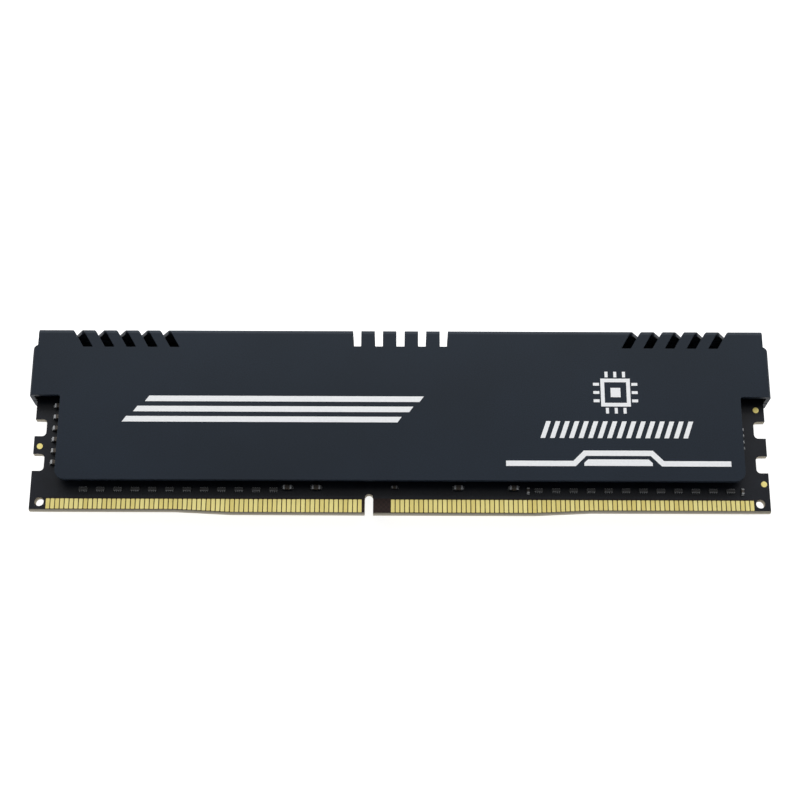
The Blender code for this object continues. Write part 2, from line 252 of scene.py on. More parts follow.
def soften(piece, width, segments=2, sharper_than=35):
    """Rounds the piece's sharp edges and keeps its flat faces flat."""
    piece.data.shade_smooth()
    bevel = piece.modifiers.new("edge_radius", "BEVEL")
    bevel.width = width
    bevel.segments = segments
    bevel.limit_method = "ANGLE"
    bevel.angle_limit = math.radians(sharper_than)
    weighted = piece.modifiers.new("flat_faces", "WEIGHTED_NORMAL")
    weighted.keep_sharp = True


# %% Front and back plate
SHEARED_EDGE_RADIUS = 0.1 * MM
for side in ("front", "back"):
    node = f"{side}_plate"
    plate = keep(merged_copy(node), f"{side}_heat_spreader", [anodised], stands_for=[node])
    soften(plate, SHEARED_EDGE_RADIUS)

# %% [markdown]
# ## White print
#
# The front plate carries screen-printed decoration: three long bars with slanted ends, and a line
# like a circuit track with a step in it. An outline of a chip and a band of slanted strokes are
# generic shapes in the places where a maker would print a mark. The plate's material could paint
# them, but ink really stands a few hundredths of a millimetre proud of the metal, and a thin slab
# for each shape keeps its edges crisp from close by. The mesh of the screen leaves a faint
# mottle, drawn 0.4 mm across.

# %% Screen-printed ink
SCREEN_MOTTLE = 0.4 * MM
ink, place = new_material("white_screen_ink", Roughness=0.5)
mottle = add_node(ink, "ShaderNodeTexNoise",
                  {"Vector": place, "Scale": 1 / SCREEN_MOTTLE, "Detail": 2.0})
tint = add_node(ink, "ShaderNodeValToRGB", {"Fac": mottle.outputs["Fac"]},
                stops=[(0.3, "#f2f4f6"), (0.7, "#fafbfc")])
feed(ink, Base_Color=tint.outputs["Color"])


# %% Helpers for flat shapes
def slab(bm, outline, low, high, finish=0):
    """Adds the closed outline to bm as a slab between two levels."""
    face = bm.faces.new([bm.verts.new((x, y, low)) for x, y in outline])
    face.material_index = finish
    grown = bmesh.ops.extrude_face_region(bm, geom=[face])["geom"]
    risen = [v for v in grown if isinstance(v, bmesh.types.BMVert)]
    bmesh.ops.translate(bm, verts=risen, vec=(0, 0, high - low))


def outward(bm):
    """Points the faces of closed shapes outwards."""
    bmesh.ops.recalc_face_normals(bm, faces=bm.faces[:])
    return bm


def scaled(points):
    """Points in millimetres as points in metres."""
    return [(x * MM, y * MM) for x, y in points]


def slanted_bar(left, right, middle, height, lean):
    """A bar whose ends lean to the right, by lean times its height."""
    low, high, shift = middle - height / 2, middle + height / 2, lean * height / 2
    return [(left - shift, low), (right - shift, low), (right + shift, high), (left + shift, high)]


def track(route, width):
    """The outline of a line of even width along the route, with mitred corners."""
    points = [Vector(p) for p in route]
    left, right = [], []
    for i, point in enumerate(points):
        after = (points[i + 1] - point).normalized() if i + 1 < len(points) else None
        before = (point - points[i - 1]).normalized() if i else after
        across = (before + (after or before)).normalized().orthogonal()
        reach = across * width / 2 / across.dot(before.orthogonal())
        left.append(point + reach)
        right.append(point - reach)
    return left + right[::-1]


# %% Bars and track line, in millimetres
INK_LEVELS = (PLATE_FACE - 0.01 * MM, PLATE_FACE + 0.02 * MM)
BAR_THICKNESS = 1.07
BAR_LEAN = 0.7
BARS = ((-46.1, 3.9, 20.92), (-48.15, 2.0, 18.95), (-50.1, -0.1, 16.99))  # left, right, middle
LINE_THICKNESS = 1.0
LINE = ((19.05, 8.78), (31.35, 8.78), (33.3, 10.73), (45.3, 10.73), (47.25, 8.78), (59.5, 8.78))
STEP_BAR = ((33.1, 8.35), (45.4, 8.35), (45.4, 8.9), (44.7, 9.57), (33.8, 9.57), (33.1, 8.9))
bm = bmesh.new()
for left, right, middle in BARS:
    slab(bm, scaled(slanted_bar(left, right, middle, BAR_THICKNESS, BAR_LEAN)), *INK_LEVELS)
slab(bm, scaled(track(LINE, LINE_THICKNESS)), *INK_LEVELS)
slab(bm, scaled(STEP_BAR), *INK_LEVELS)
keep(outward(bm), "printed_bars_and_line", [ink], FRONT)

# %% Chip outline and band of strokes, in millimetres
CHIP_SIGN_MIDDLE = Vector((39.25, 22.35))
CHIP_SIGN_HALF, CHIP_SIGN_LINE, CHIP_SIGN_CORE = 2.35, 0.7, 0.9
SIGN_PINS, SIGN_PIN_PITCH, SIGN_PIN_WIDTH = 3, 1.6, 0.55
SIGN_PIN_REACH = (2.95, 4.05)
BAND_START, BAND_PITCH, BAND_MIDDLE = 25.9, 1.72, 15.2
STROKE_HEIGHT, STROKE_WIDTH, STROKE_LEAN, STROKES = 3.2, 0.85, 0.35, 16
bm = bmesh.new()
corners = [Vector((a, b)) * CHIP_SIGN_HALF for a, b in ((-1, -1), (1, -1), (1, 1), (-1, 1))]
for start, end in zip(corners, corners[1:] + corners[:1]):
    back = (end - start).normalized() * CHIP_SIGN_LINE / 2
    side_line = track([start - back, end - back], CHIP_SIGN_LINE)
    slab(bm, scaled([CHIP_SIGN_MIDDLE + p for p in side_line]), *INK_LEVELS)
core = [CHIP_SIGN_MIDDLE + c.normalized() * CHIP_SIGN_CORE * math.sqrt(2) for c in corners]
slab(bm, scaled(core), *INK_LEVELS)
for i in range(SIGN_PINS):
    across = (i - (SIGN_PINS - 1) / 2) * SIGN_PIN_PITCH
    for turn in range(4):
        spin = Matrix.Rotation(turn * math.pi / 2, 2)
        pin = track([(reach, across) for reach in SIGN_PIN_REACH], SIGN_PIN_WIDTH)
        slab(bm, scaled([CHIP_SIGN_MIDDLE + spin @ p for p in pin]), *INK_LEVELS)
for i in range(STROKES):
    left = BAND_START + BAND_PITCH * i
    stroke = slanted_bar(left, left + STROKE_WIDTH, BAND_MIDDLE, STROKE_HEIGHT, STROKE_LEAN)
    slab(bm, scaled(stroke), *INK_LEVELS)
keep(outward(bm), "printed_chip_outline_and_band", [ink], FRONT)

# %% [markdown]
# ## The circuit board
#
# The board is glass cloth pressed with black epoxy. Its faces are coated with solder mask, a
# half-gloss black lacquer. The contacts' band has no mask, so the brown-black laminate shows
# between them. Where the router cut the outline, broken glass fibres scatter light and the edge
# turns pale. The bare band could be a piece of its own, but three cuts through the board's mesh
# let its faces take different materials and stay level. The weave of the cloth, 0.45 mm from
# yarn to yarn, shows as the faintest ripple.

# %% Solder mask, bare laminate and routed edge
YARN_PITCH = 0.45 * MM
DUST_CLOUD = 2.5 * MM
mask, place = new_material("black_solder_mask", Roughness=0.38, Specular_IOR_Level=0.25)
clouds = add_node(mask, "ShaderNodeTexNoise",
                  {"Vector": place, "Scale": 1 / DUST_CLOUD, "Detail": 4.0})
tint = add_node(mask, "ShaderNodeValToRGB", {"Fac": clouds.outputs["Fac"]},
                stops=[(0.3, "#10131a"), (0.7, "#171b23")])
cloth = add_node(mask, "ShaderNodeTexChecker", {"Vector": place, "Scale": 1 / YARN_PITCH})
ripple = add_node(mask, "ShaderNodeBump",
                  {"Height": cloth.outputs["Fac"], "Strength": 0.04, "Distance": 0.01 * MM})
feed(mask, Base_Color=tint.outputs["Color"], Normal=ripple.outputs["Normal"])

laminate, place = new_material("bare_glass_epoxy_laminate", Roughness=0.6, Specular_IOR_Level=0.2)
cloth = add_node(laminate, "ShaderNodeTexChecker",
                 {"Vector": place, "Scale": 1 / YARN_PITCH, "Color1": linear("#2b1c18"),
                  "Color2": linear("#221613")})
feed(laminate, Base_Color=cloth.outputs["Color"])

PLY_THICKNESS = 0.12 * MM
WAVES_PER_UNIT = 20 / (2 * math.pi)  # a wave texture of scale 1 has this many bands in one unit
routed, place = new_material("routed_glass_epoxy_edge", Roughness=0.8)
plies = add_node(routed, "ShaderNodeTexWave",
                 {"Vector": place, "Scale": 1 / PLY_THICKNESS / WAVES_PER_UNIT, "Distortion": 1.5,
                  "Detail": 2.0}, bands_direction="Z")
tint = add_node(routed, "ShaderNodeValToRGB", {"Fac": plies.outputs["Fac"]},
                stops=[(0.2, "#9c9484"), (0.8, "#b9b1a0")])
feed(routed, Base_Color=tint.outputs["Color"])

# %% Board with its bare contact band
BARE_BAND_TOP = 2.9 * MM
BARE_BAND_END = BOARD_END - 2.85 * MM
BOARD_EDGE_RADIUS = 0.05 * MM
LEVEL = 0.9  # a face whose normal points up or down by less than this is part of the cut edge
MASKED, BARE, ROUTED = range(3)
bm = merged_copy("circuit_board")
bmesh.ops.transform(bm, matrix=FRONT.inverted(), verts=bm.verts[:])
for point, normal in (((0, BARE_BAND_TOP, 0), (0, 1, 0)), ((BARE_BAND_END, 0, 0), (1, 0, 0)),
                      ((-BARE_BAND_END, 0, 0), (1, 0, 0))):
    bmesh.ops.bisect_plane(bm, geom=[*bm.verts, *bm.edges, *bm.faces], plane_co=point,
                           plane_no=normal)
for face in bm.faces:
    middle = face.calc_center_median()
    if abs(face.normal.z) < LEVEL:
        face.material_index = ROUTED
    elif middle.y < BARE_BAND_TOP and abs(middle.x) < BARE_BAND_END:
        face.material_index = BARE
    else:
        face.material_index = MASKED
board = keep(bm, "printed_circuit_board", [mask, laminate, routed], FRONT, ["circuit_board"])
soften(board, BOARD_EDGE_RADIUS, segments=1)

# %% [markdown]
# ## Gold contacts
#
# Each contact is copper plated with nickel and a little gold, 0.85 mm from its neighbour. Plated
# gold over nickel is paler than jewellery, and no two contacts polish quite alike, so a cell
# pattern one contact wide shifts each one's brightness. Socket springs leave fine wipe marks
# along each contact, drawn as noise stretched tenfold. The solid part joins a whole row by a
# thin strip along its top. Stripes in a material could stand for the contacts, but separate
# blocks with rounded corners have edges that shine and gaps that hold shadow.

# %% Gold plating
CONTACT_PITCH = 0.85 * MM
WIPE_MARK = 0.12 * MM
WIPE_STRETCH = 10
gold, place = new_material("gold_over_nickel_plating", Metallic=1.0)
cells = add_node(gold, "ShaderNodeMapping",
                 {"Vector": place, "Scale": (1 / CONTACT_PITCH, 0.0, 0.0)})
whole = add_node(gold, "ShaderNodeVectorMath", {0: cells.outputs["Vector"]}, operation="FLOOR")
each = add_node(gold, "ShaderNodeTexWhiteNoise", {"Vector": whole.outputs["Vector"]})
tint = add_node(gold, "ShaderNodeValToRGB", {"Fac": each.outputs["Value"]},
                stops=[(0.0, "#f0de88"), (1.0, "#fff2a2")])
along = add_node(gold, "ShaderNodeMapping",
                 {"Vector": place, "Scale": (1.0, 1 / WIPE_STRETCH, 1.0)})
wipes = add_node(gold, "ShaderNodeTexNoise",
                 {"Vector": along.outputs["Vector"], "Scale": 1 / WIPE_MARK, "Detail": 2.0})
rough = add_node(gold, "ShaderNodeMapRange",
                 {"Value": wipes.outputs["Fac"], "To Min": 0.25, "To Max": 0.45})
feed(gold, Base_Color=tint.outputs["Color"], Roughness=rough.outputs["Result"])


# %% Helper for blocks
def block(bm, middle, size, low, finish=0, corner=0.0, rim=0.0):
    """Adds a block that stands on a level, with its upright edges and its top rim rounded."""
    old = set(bm.faces)
    verts = bmesh.ops.create_cube(bm, size=1.0)["verts"]
    bmesh.ops.scale(bm, verts=verts, vec=size)
    bmesh.ops.translate(bm, verts=verts, vec=(*middle, low + size[2] / 2))
    if corner:
        upright = [e for e in {e for v in verts for e in v.link_edges}
                   if abs(e.verts[0].co.z - e.verts[1].co.z) > size[2] / 2]
        bmesh.ops.bevel(bm, geom=upright, offset=corner, segments=2, profile=0.5,
                        affect="EDGES", material=-1)
    made = [f for f in bm.faces if f not in old]
    if rim:
        near_top = low + 0.99 * size[2]
        crown = {e for f in made for e in f.edges if min(v.co.z for v in e.verts) > near_top}
        bmesh.ops.bevel(bm, geom=list(crown), offset=rim, segments=1, profile=0.5,
                        affect="EDGES", material=-1)
        made = [f for f in bm.faces if f not in old]
    for face in made:
        face.material_index = finish
    return made


# %% One block for each contact
CONTACT_WIDTH = 0.7 * MM
TIE_STRIP = 0.2 * MM
CONTACT_CORNER = 0.1 * MM
CONTACT_RIM = 0.3  # of the plating's thickness
contact_places = {}
for side_name, side in (("front", FRONT), ("back", BACK)):
    for hand in ("left", "right"):
        node = f"contacts_{side_name}_{hand}"
        low, high = drawn_box(node, side)
        corners = [side.inverted() @ v.co for v in nodes[node].data.vertices]
        count = int((high.x - low.x) / CONTACT_PITCH) + 1
        first = (low.x + high.x - (count - 1) * CONTACT_PITCH) / 2
        top = high.y - TIE_STRIP
        contact_places[node] = [first + CONTACT_PITCH * i for i in range(count)]
        bm = bmesh.new()
        for x in contact_places[node]:
            foot = min(c.y for c in corners if abs(c.x - x) < CONTACT_PITCH / 2)
            size = (CONTACT_WIDTH, top - foot, high.z - BOARD_FACE)
            block(bm, (x, (foot + top) / 2), size, BOARD_FACE, 0, CONTACT_CORNER,
                  CONTACT_RIM * size[2])
        keep(bm, f"gold_{node}", [gold], side, [node])
        print(count, "contacts, first at", round(1000 * first, 2), "mm")

# %% [markdown]
# ## Tracks, vias and test dots
#
# From each contact a copper track runs up under the mask, some to a part above it and some to a
# via, a plated hole that goes to another layer. A bump in the mask's material could draw them,
# but the real ones have height, because the mask follows the copper. So tracks and vias stand
# 0.02 mm proud in the same black. A few round test dots are left bare and plated gold.

# %% Tracks and vias under the mask
COPPER = 0.02 * MM
TRACK_WIDTH = 0.14 * MM
VIA_RADIUS = 0.22 * MM
VIA_SIDES = 10
DISC_TOP = 0.94  # of its foot's radius, as etched copper leans in
TRACK_REACH = (1.05 * MM, 0.55 * MM, 1.4 * MM, 0.8 * MM)


def disc(bm, x, y, radius, sides):
    """Adds a thin round plate of copper on the board, a little narrower at its top."""
    verts = bmesh.ops.create_cone(bm, cap_ends=True, segments=sides, radius1=radius,
                                  radius2=DISC_TOP * radius, depth=2 * COPPER)["verts"]
    bmesh.ops.translate(bm, verts=verts, vec=(x, y, BOARD_FACE + COPPER / 2))


for side_name, side in (("front", FRONT), ("back", BACK)):
    bm = bmesh.new()
    start = drawn_box(f"contacts_{side_name}_left", side)[1].y - TIE_STRIP
    for hand in ("left", "right"):
        for i, x in enumerate(contact_places[f"contacts_{side_name}_{hand}"]):
            end = start + TRACK_REACH[i % len(TRACK_REACH)]
            route = [(x, start - COPPER), (x, end)]
            slab(bm, track(route, TRACK_WIDTH), BOARD_FACE - COPPER, BOARD_FACE + COPPER)
            disc(bm, x, end, VIA_RADIUS, VIA_SIDES)
    keep(outward(bm), f"masked_tracks_{side_name}", [mask], side)

# %% Gold test dots
DOT_RADIUS = 0.57 * MM
DOT_SIDES = 20
DOTS = ((-65.55, 12.55), (65.2, 19.95), (65.75, 5.8))  # in millimetres
bm = bmesh.new()
for x, y in scaled(DOTS):
    disc(bm, x, y, DOT_RADIUS, DOT_SIDES)
keep(bm, "gold_test_dots", [gold], FRONT)

# %% [markdown]
# ## Capacitors and resistor arrays
#
# The smallest parts are glass-hard ceramic. A capacitor is a brown block with a tinned cap over
# each end, and a resistor array is a slip of alumina with black glaze on top and four tinned
# terminals along each side. The alumina is drawn mid-grey: painted shade, for the plate's shadow
# that falls over the arrays. Molten solder climbs each terminal and sets in a concave fillet. A
# swept curve could follow it, but a sloping wedge shows well enough at this size. One part is
# built at the origin and then copied to its places, which keeps a row of twelve as cheap to
# describe as one.

# %% Ceramic, glaze and solder
CERAMIC_GRAIN = 0.15 * MM
# The alumina's mid-grey ramp is painted shade: white alumina drawn darker for the plate's shadow
# over the arrays.
fired = []
for name, roughness, dark, pale in (("fired_titanate_ceramic", 0.5, "#3f3831", "#50473d"),
                                    ("alumina_slip_in_painted_shade", 0.6, "#5f5f5e", "#757573"),
                                    ("black_resistor_glaze", 0.3, "#121214", "#1b1b1e")):
    material, place = new_material(name, Roughness=roughness)
    grain = add_node(material, "ShaderNodeTexNoise", {"Vector": place, "Scale": 1 / CERAMIC_GRAIN})
    tint = add_node(material, "ShaderNodeValToRGB", {"Fac": grain.outputs["Fac"]},
                    stops=[(0.3, dark), (0.7, pale)])
    feed(material, Base_Color=tint.outputs["Color"])
    fired.append(material)
ceramic, alumina, glaze = fired

SOLDER_FROST = 0.08 * MM
solder, place = new_material("reflowed_tin_solder", Metallic=1.0)
frost = add_node(solder, "ShaderNodeTexNoise", {"Vector": place, "Scale": 1 / SOLDER_FROST})
tint = add_node(solder, "ShaderNodeValToRGB", {"Fac": frost.outputs["Fac"]},
                stops=[(0.3, "#8c8e90"), (0.7, "#b0b2b4")])
rough = add_node(solder, "ShaderNodeMapRange",
                 {"Value": frost.outputs["Fac"], "To Min": 0.28, "To Max": 0.5})
feed(solder, Base_Color=tint.outputs["Color"], Roughness=rough.outputs["Result"])


# %% Helpers for rows of small parts
FILLET_TOE = 0.15  # of the fillet's height


def fillet(bm, inner, outer, size, finish, y=0.0):
    """Adds a solder fillet on the board, from inner, where it is high, to outer, where it ends."""
    width, height = size
    middle = ((inner + outer) / 2, y)
    for face in block(bm, middle, (abs(outer - inner), width, height), BOARD_FACE, finish):
        for vert in face.verts:
            is_outer = abs(vert.co.x - outer) < abs(vert.co.x - inner)
            if is_outer and vert.co.z > BOARD_FACE + height / 2:
                vert.co.z = BOARD_FACE + FILLET_TOE * height


def repeat(bm, places):
    """Copies what bm holds to each place, given as x, y and a turn in degrees."""
    model = [*bm.verts, *bm.edges, *bm.faces]
    model_verts = bm.verts[:]
    for x, y, turn in places:
        copy = bmesh.ops.duplicate(bm, geom=model)["geom"]
        verts = [v for v in copy if isinstance(v, bmesh.types.BMVert)]
        spin = Matrix.Rotation(math.radians(turn), 3, "Z")
        bmesh.ops.rotate(bm, verts=verts, cent=(0, 0, 0), matrix=spin)
        bmesh.ops.translate(bm, verts=verts, vec=(x, y, 0))
    bmesh.ops.delete(bm, geom=model_verts, context="VERTS")
    return bm


# %% A capacitor
BODY_LEVEL = BOARD_FACE + 0.02 * MM
SOLDERED_LEVEL = BOARD_FACE + 0.01 * MM
FILLET_OVERLAP = 0.02 * MM
CERAMIC, TINNED, GLAZED = range(3)
# The next values are shares of the whole part's length, width or height.
CAP_LENGTH, CAP_CORNER, CAP_RIM = 0.25, 0.06, 0.08
CERAMIC_WIDTH, CERAMIC_HEIGHT, CERAMIC_RIM = 0.95, 0.96, 0.06
FILLET_REACH, FILLET_WIDTH, FILLET_HEIGHT = 0.35, 0.9, 0.5


def capacitor(length, width, height):
    """A capacitor along X: ceramic body, two tinned caps and their solder fillets."""
    bm = bmesh.new()
    cap = CAP_LENGTH * length
    block(bm, (0, 0), (length - cap, CERAMIC_WIDTH * width, CERAMIC_HEIGHT * height),
          BODY_LEVEL, CERAMIC, rim=CERAMIC_RIM * height)
    for sign in (-1, 1):
        end = sign * length / 2
        block(bm, (end - sign * cap / 2, 0), (cap, width, height), SOLDERED_LEVEL, TINNED,
              CAP_CORNER * width, CAP_RIM * height)
        fillet(bm, end - sign * FILLET_OVERLAP, end + sign * FILLET_REACH * height,
               (FILLET_WIDTH * width, FILLET_HEIGHT * height), TINNED)
    return bm


# %% A resistor array
TERMINALS = 4
TERMINAL_LENGTH = 0.5  # of the distance from one terminal to the next
SLIP_RIM = 0.03 * MM
# The next values are shares of the whole array's length, width or height.
SLIP_WIDTH, SLIP_HEIGHT = 0.75, 0.9
GLAZE_LENGTH, GLAZE_WIDTH, GLAZE_HEIGHT, GLAZE_LEVEL = 0.96, 0.56, 0.05, 0.95
WALL_PLACE, WALL_WIDTH, WALL_HEIGHT = 0.37, 0.16, 0.96
FOOT_PLACE, FOOT_WIDTH, FOOT_HEIGHT = 0.5, 0.14, 0.35


def resistor_array(length, width, height):
    """A resistor array along X: alumina slip, glazed top and tinned terminals on each side."""
    bm = bmesh.new()
    pitch = length / TERMINALS
    block(bm, (0, 0), (length, SLIP_WIDTH * width, SLIP_HEIGHT * height), BODY_LEVEL, CERAMIC,
          rim=SLIP_RIM)
    block(bm, (0, 0), (GLAZE_LENGTH * length, GLAZE_WIDTH * width, GLAZE_HEIGHT * height),
          BOARD_FACE + GLAZE_LEVEL * height, GLAZED)
    for i in range(TERMINALS):
        x = (i - (TERMINALS - 1) / 2) * pitch
        for sign in (-1, 1):
            wall = (TERMINAL_LENGTH * pitch, WALL_WIDTH * width, WALL_HEIGHT * height)
            block(bm, (x, sign * WALL_PLACE * width), wall, SOLDERED_LEVEL, TINNED, rim=SLIP_RIM)
            foot = (TERMINAL_LENGTH * pitch, FOOT_WIDTH * width, FOOT_HEIGHT * height)
            block(bm, (x, sign * FOOT_PLACE * width), foot, BOARD_FACE, TINNED, rim=SLIP_RIM)
    return bm


# %% Resistor arrays above the contacts
for hand in ("left", "right"):
    arrays = sorted(n for n in nodes if n.startswith(f"resistor_array_{hand}_"))
    boxes = [drawn_box(n, FRONT) for n in arrays]
    size = boxes[0][1] - boxes[0][0]
    bm = repeat(resistor_array(*size), places_of(boxes))
    keep(bm, f"resistor_arrays_{hand}", [alumina, solder, glaze], FRONT, arrays)

# %% Capacitors at the board's end and above the contacts
column = sorted(n for n in nodes if n.startswith("end_capacitor_"))
boxes = [drawn_box(n, FRONT) for n in column]
CAPACITOR_SIZE = tuple(boxes[0][1] - boxes[0][0])
keep(repeat(capacitor(*CAPACITOR_SIZE), places_of(boxes)), "capacitors_at_left_end",
     [ceramic, solder], FRONT, column)

ROW_HEIGHT = 4.85 * MM
ROW_CAPACITORS = (-20.3, -15.1, 10.55, 20.55)
places = [(x * MM, ROW_HEIGHT, 0) for x in ROW_CAPACITORS]
keep(repeat(capacitor(*CAPACITOR_SIZE), places), "capacitors_above_contacts",
     [ceramic, solder], FRONT)

SMALL_CAPACITOR = (1.0 * MM, 0.5 * MM, 0.5 * MM)
# Places in millimetres, and a turn in degrees.
SMALL_PLACES = ((-1.0, 4.95, 0), (61.75, 4.35, 90), (23.1, 4.4, 90),
                (62.1, 12.5, 0), (62.1, 13.7, 0), (62.1, 14.9, 0), (62.1, 16.1, 0))
places = [(x * MM, y * MM, turn) for x, y, turn in SMALL_PLACES]
keep(repeat(capacitor(*SMALL_CAPACITOR), places), "small_capacitors_front",
     [ceramic, solder], FRONT)

# %% [markdown]
# ## Memory chips
#
# A memory chip is a thin sheet of green-black resin with the silicon on it, moulded over with
# black epoxy, and it stands on 78 solder balls. The epoxy carries fine glass powder that gives a
# dead, slightly sparkling black. Only the lower edges of the chips show between the plate and the
# board, so a plain block would do from above, but from the side the resin sheet and the outer
# balls are seen. One chip and one grid of balls are made, and then copied along the row.

# %% Moulded epoxy and resin sheet
GLASS_POWDER = 0.06 * MM
epoxy, place = new_material("moulded_black_epoxy")
powder = add_node(epoxy, "ShaderNodeTexNoise",
                  {"Vector": place, "Scale": 1 / GLASS_POWDER, "Detail": 2.0})
tint = add_node(epoxy, "ShaderNodeValToRGB", {"Fac": powder.outputs["Fac"]},
                stops=[(0.3, "#141416"), (0.7, "#1f1f22")])
rough = add_node(epoxy, "ShaderNodeMapRange",
                 {"Value": powder.outputs["Fac"], "To Min": 0.5, "To Max": 0.7})
feed(epoxy, Base_Color=tint.outputs["Color"], Roughness=rough.outputs["Result"])

resin, place = new_material("package_resin_sheet", Roughness=0.45)
cloth = add_node(resin, "ShaderNodeTexChecker",
                 {"Vector": place, "Scale": 1 / YARN_PITCH, "Color1": linear("#1d2a20"),
                  "Color2": linear("#18241b")})
feed(resin, Base_Color=cloth.outputs["Color"])

# %% Chips and their solder balls
CHIPS_ON_A_FACE = 8
RESIN_SHEET = 0.22 * MM
MOULD_STEP = 0.04 * MM
MOULD_CORNER, MOULD_RIM = 0.06 * MM, 0.08 * MM
MOULDED, RESIN = range(2)
BALL_PITCH = 0.8 * MM
BALL_ROWS = 13
BALL_COLUMNS = (-4, -3, -2, 2, 3, 4)
BALL_RADIUS = 0.21 * MM
BALL_HALF_HEIGHT = 0.55  # of the gap, so that a ball sinks a little into the board and the chip
for side_name, side in (("front", FRONT), ("back", BACK)):
    chips = [f"memory_chip_{side_name}_{i + 1}" for i in range(CHIPS_ON_A_FACE)]
    boxes = [drawn_box(n, side) for n in chips]
    low, high = boxes[0]
    size = high - low
    places = places_of(boxes)
    bm = bmesh.new()
    block(bm, (0, 0), (size.x, size.y, RESIN_SHEET), low.z, RESIN)
    block(bm, (0, 0), (size.x - MOULD_STEP, size.y - MOULD_STEP, size.z - RESIN_SHEET),
          low.z + RESIN_SHEET, MOULDED, MOULD_CORNER, MOULD_RIM)
    keep(repeat(bm, places), f"memory_chips_{side_name}", [epoxy, resin], side, chips)
    bm = bmesh.new()
    bmesh.ops.create_uvsphere(bm, u_segments=8, v_segments=5, radius=BALL_RADIUS)
    gap = low.z - BOARD_FACE
    bmesh.ops.scale(bm, verts=bm.verts[:], vec=(1, 1, BALL_HALF_HEIGHT * gap / BALL_RADIUS))
    bmesh.ops.translate(bm, verts=bm.verts[:], vec=(0, 0, BOARD_FACE + gap / 2))
    grid = [(BALL_PITCH * c, BALL_PITCH * (r - (BALL_ROWS - 1) / 2), 0)
            for c in BALL_COLUMNS for r in range(BALL_ROWS)]
    repeat(repeat(bm, grid), places)
    balls = keep(bm, f"solder_balls_{side_name}", [solder], side)
    balls.data.shade_smooth()

# %% [markdown]
# ## Thermal pads
#
# A soft grey silicone pad fills the space between the chips and each plate. It is loaded with
# ceramic powder, so it looks like putty, and it is squeezed a little when the plates go on, so
# its sides bulge and its edge wanders. Cloth simulation could press it, but it is a stiff putty
# held between two flat faces. So the slab is cut into many small faces and each point of its
# sides is pushed out, most at mid-thickness, by a smooth noise.

# %% Thermal silicone
FILLER_GRAIN = 0.12 * MM
silicone, place = new_material("filled_grey_silicone", Roughness=0.85)
filler = add_node(silicone, "ShaderNodeTexNoise",
                  {"Vector": place, "Scale": 1 / FILLER_GRAIN, "Detail": 3.0})
tint = add_node(silicone, "ShaderNodeValToRGB", {"Fac": filler.outputs["Fac"]},
                stops=[(0.3, "#6d747a"), (0.7, "#8a9197")])
crumbs = add_node(silicone, "ShaderNodeBump",
                  {"Height": filler.outputs["Fac"], "Strength": 0.4, "Distance": 0.03 * MM})
feed(silicone, Base_Color=tint.outputs["Color"], Normal=crumbs.outputs["Normal"])

# %% Pads with bulging sides
PAD_CUTS = (160, 20, 4)  # along the row, across it and through the thickness
PAD_BULGE = 0.22 * MM
PAD_WANDER = 6 * MM
STEADY_SHARE, WANDERING_SHARE = 0.6, 0.8
OUTERMOST = 0.999  # of the pad's half size
for side_name, side in (("front", FRONT), ("back", BACK)):
    node = f"{side_name}_thermal_pad"
    low, high = drawn_box(node, side)
    half = (high - low) / 2
    bm = bmesh.new()
    bmesh.ops.create_cube(bm, size=2.0)
    bmesh.ops.scale(bm, verts=bm.verts[:], vec=half)
    for axis, cuts in enumerate(PAD_CUTS):
        lines = [e for e in bm.edges if abs(e.verts[0].co[axis] - e.verts[1].co[axis]) > half[axis]]
        bmesh.ops.subdivide_edges(bm, edges=lines, cuts=cuts, use_grid_fill=True)
    for vert in bm.verts:
        x, y, z = vert.co
        wander = noise.noise((x / PAD_WANDER, y / PAD_WANDER, 0))
        swell = PAD_BULGE * (1 - (z / half.z) ** 2) * (STEADY_SHARE + WANDERING_SHARE * wander)
        if abs(x) > OUTERMOST * half.x:
            vert.co.x += math.copysign(swell, x)
        if abs(y) > OUTERMOST * half.y:
            vert.co.y += math.copysign(swell, y)
    bmesh.ops.translate(bm, verts=bm.verts[:], vec=(low + high) / 2)
    pad = keep(bm, f"{side_name}_thermal_silicone", [silicone], side, [node])
    pad.data.shade_smooth()

# %% [markdown]
# ## Configuration chip
#
# A chip of 2 by 3 mm between the two middle memory chips holds the module's settings. It has no
# legs: four tinned pads wrap under each long side and solder wets them. It could be bevelled by
# hand, but the block and fillet helpers already make all of its shapes.

# %% Configuration chip
PACKAGE_LIFT = 0.03 * MM
PACKAGE_CORNER = 0.05 * MM
SIDE_PADS, SIDE_PAD_PITCH = 4, 0.5 * MM
SIDE_PAD_SIZE = (0.12 * MM, 0.25 * MM, 0.2 * MM)
SIDE_FILLET_REACH, SIDE_FILLET_HEIGHT = 0.2 * MM, 0.12 * MM
box = drawn_box("configuration_chip", FRONT)
low, high = box
size = high - low
bm = bmesh.new()
block(bm, (0, 0), (size.x, size.y, high.z - BOARD_FACE - PACKAGE_LIFT), BOARD_FACE + PACKAGE_LIFT,
      MOULDED, PACKAGE_CORNER, PACKAGE_CORNER)
for i in range(SIDE_PADS):
    y = (i - (SIDE_PADS - 1) / 2) * SIDE_PAD_PITCH
    for sign in (-1, 1):
        block(bm, (sign * size.x / 2, y), SIDE_PAD_SIZE, SOLDERED_LEVEL, TINNED)
        fillet(bm, sign * size.x / 2, sign * (size.x / 2 + SIDE_FILLET_REACH),
               (SIDE_PAD_SIZE[1], SIDE_FILLET_HEIGHT), TINNED, y)
keep(repeat(bm, places_of([box])), "configuration_chip_with_pads", [epoxy, solder], FRONT,
     ["configuration_chip"])

# %% [markdown]
# ## Parts that the plates hide
#
# Small capacitors stand around every memory chip to steady its supply, and the back face has a
# row of its own above the contacts. They only show from low down or through the slots, and they
# reuse the same capacitor.

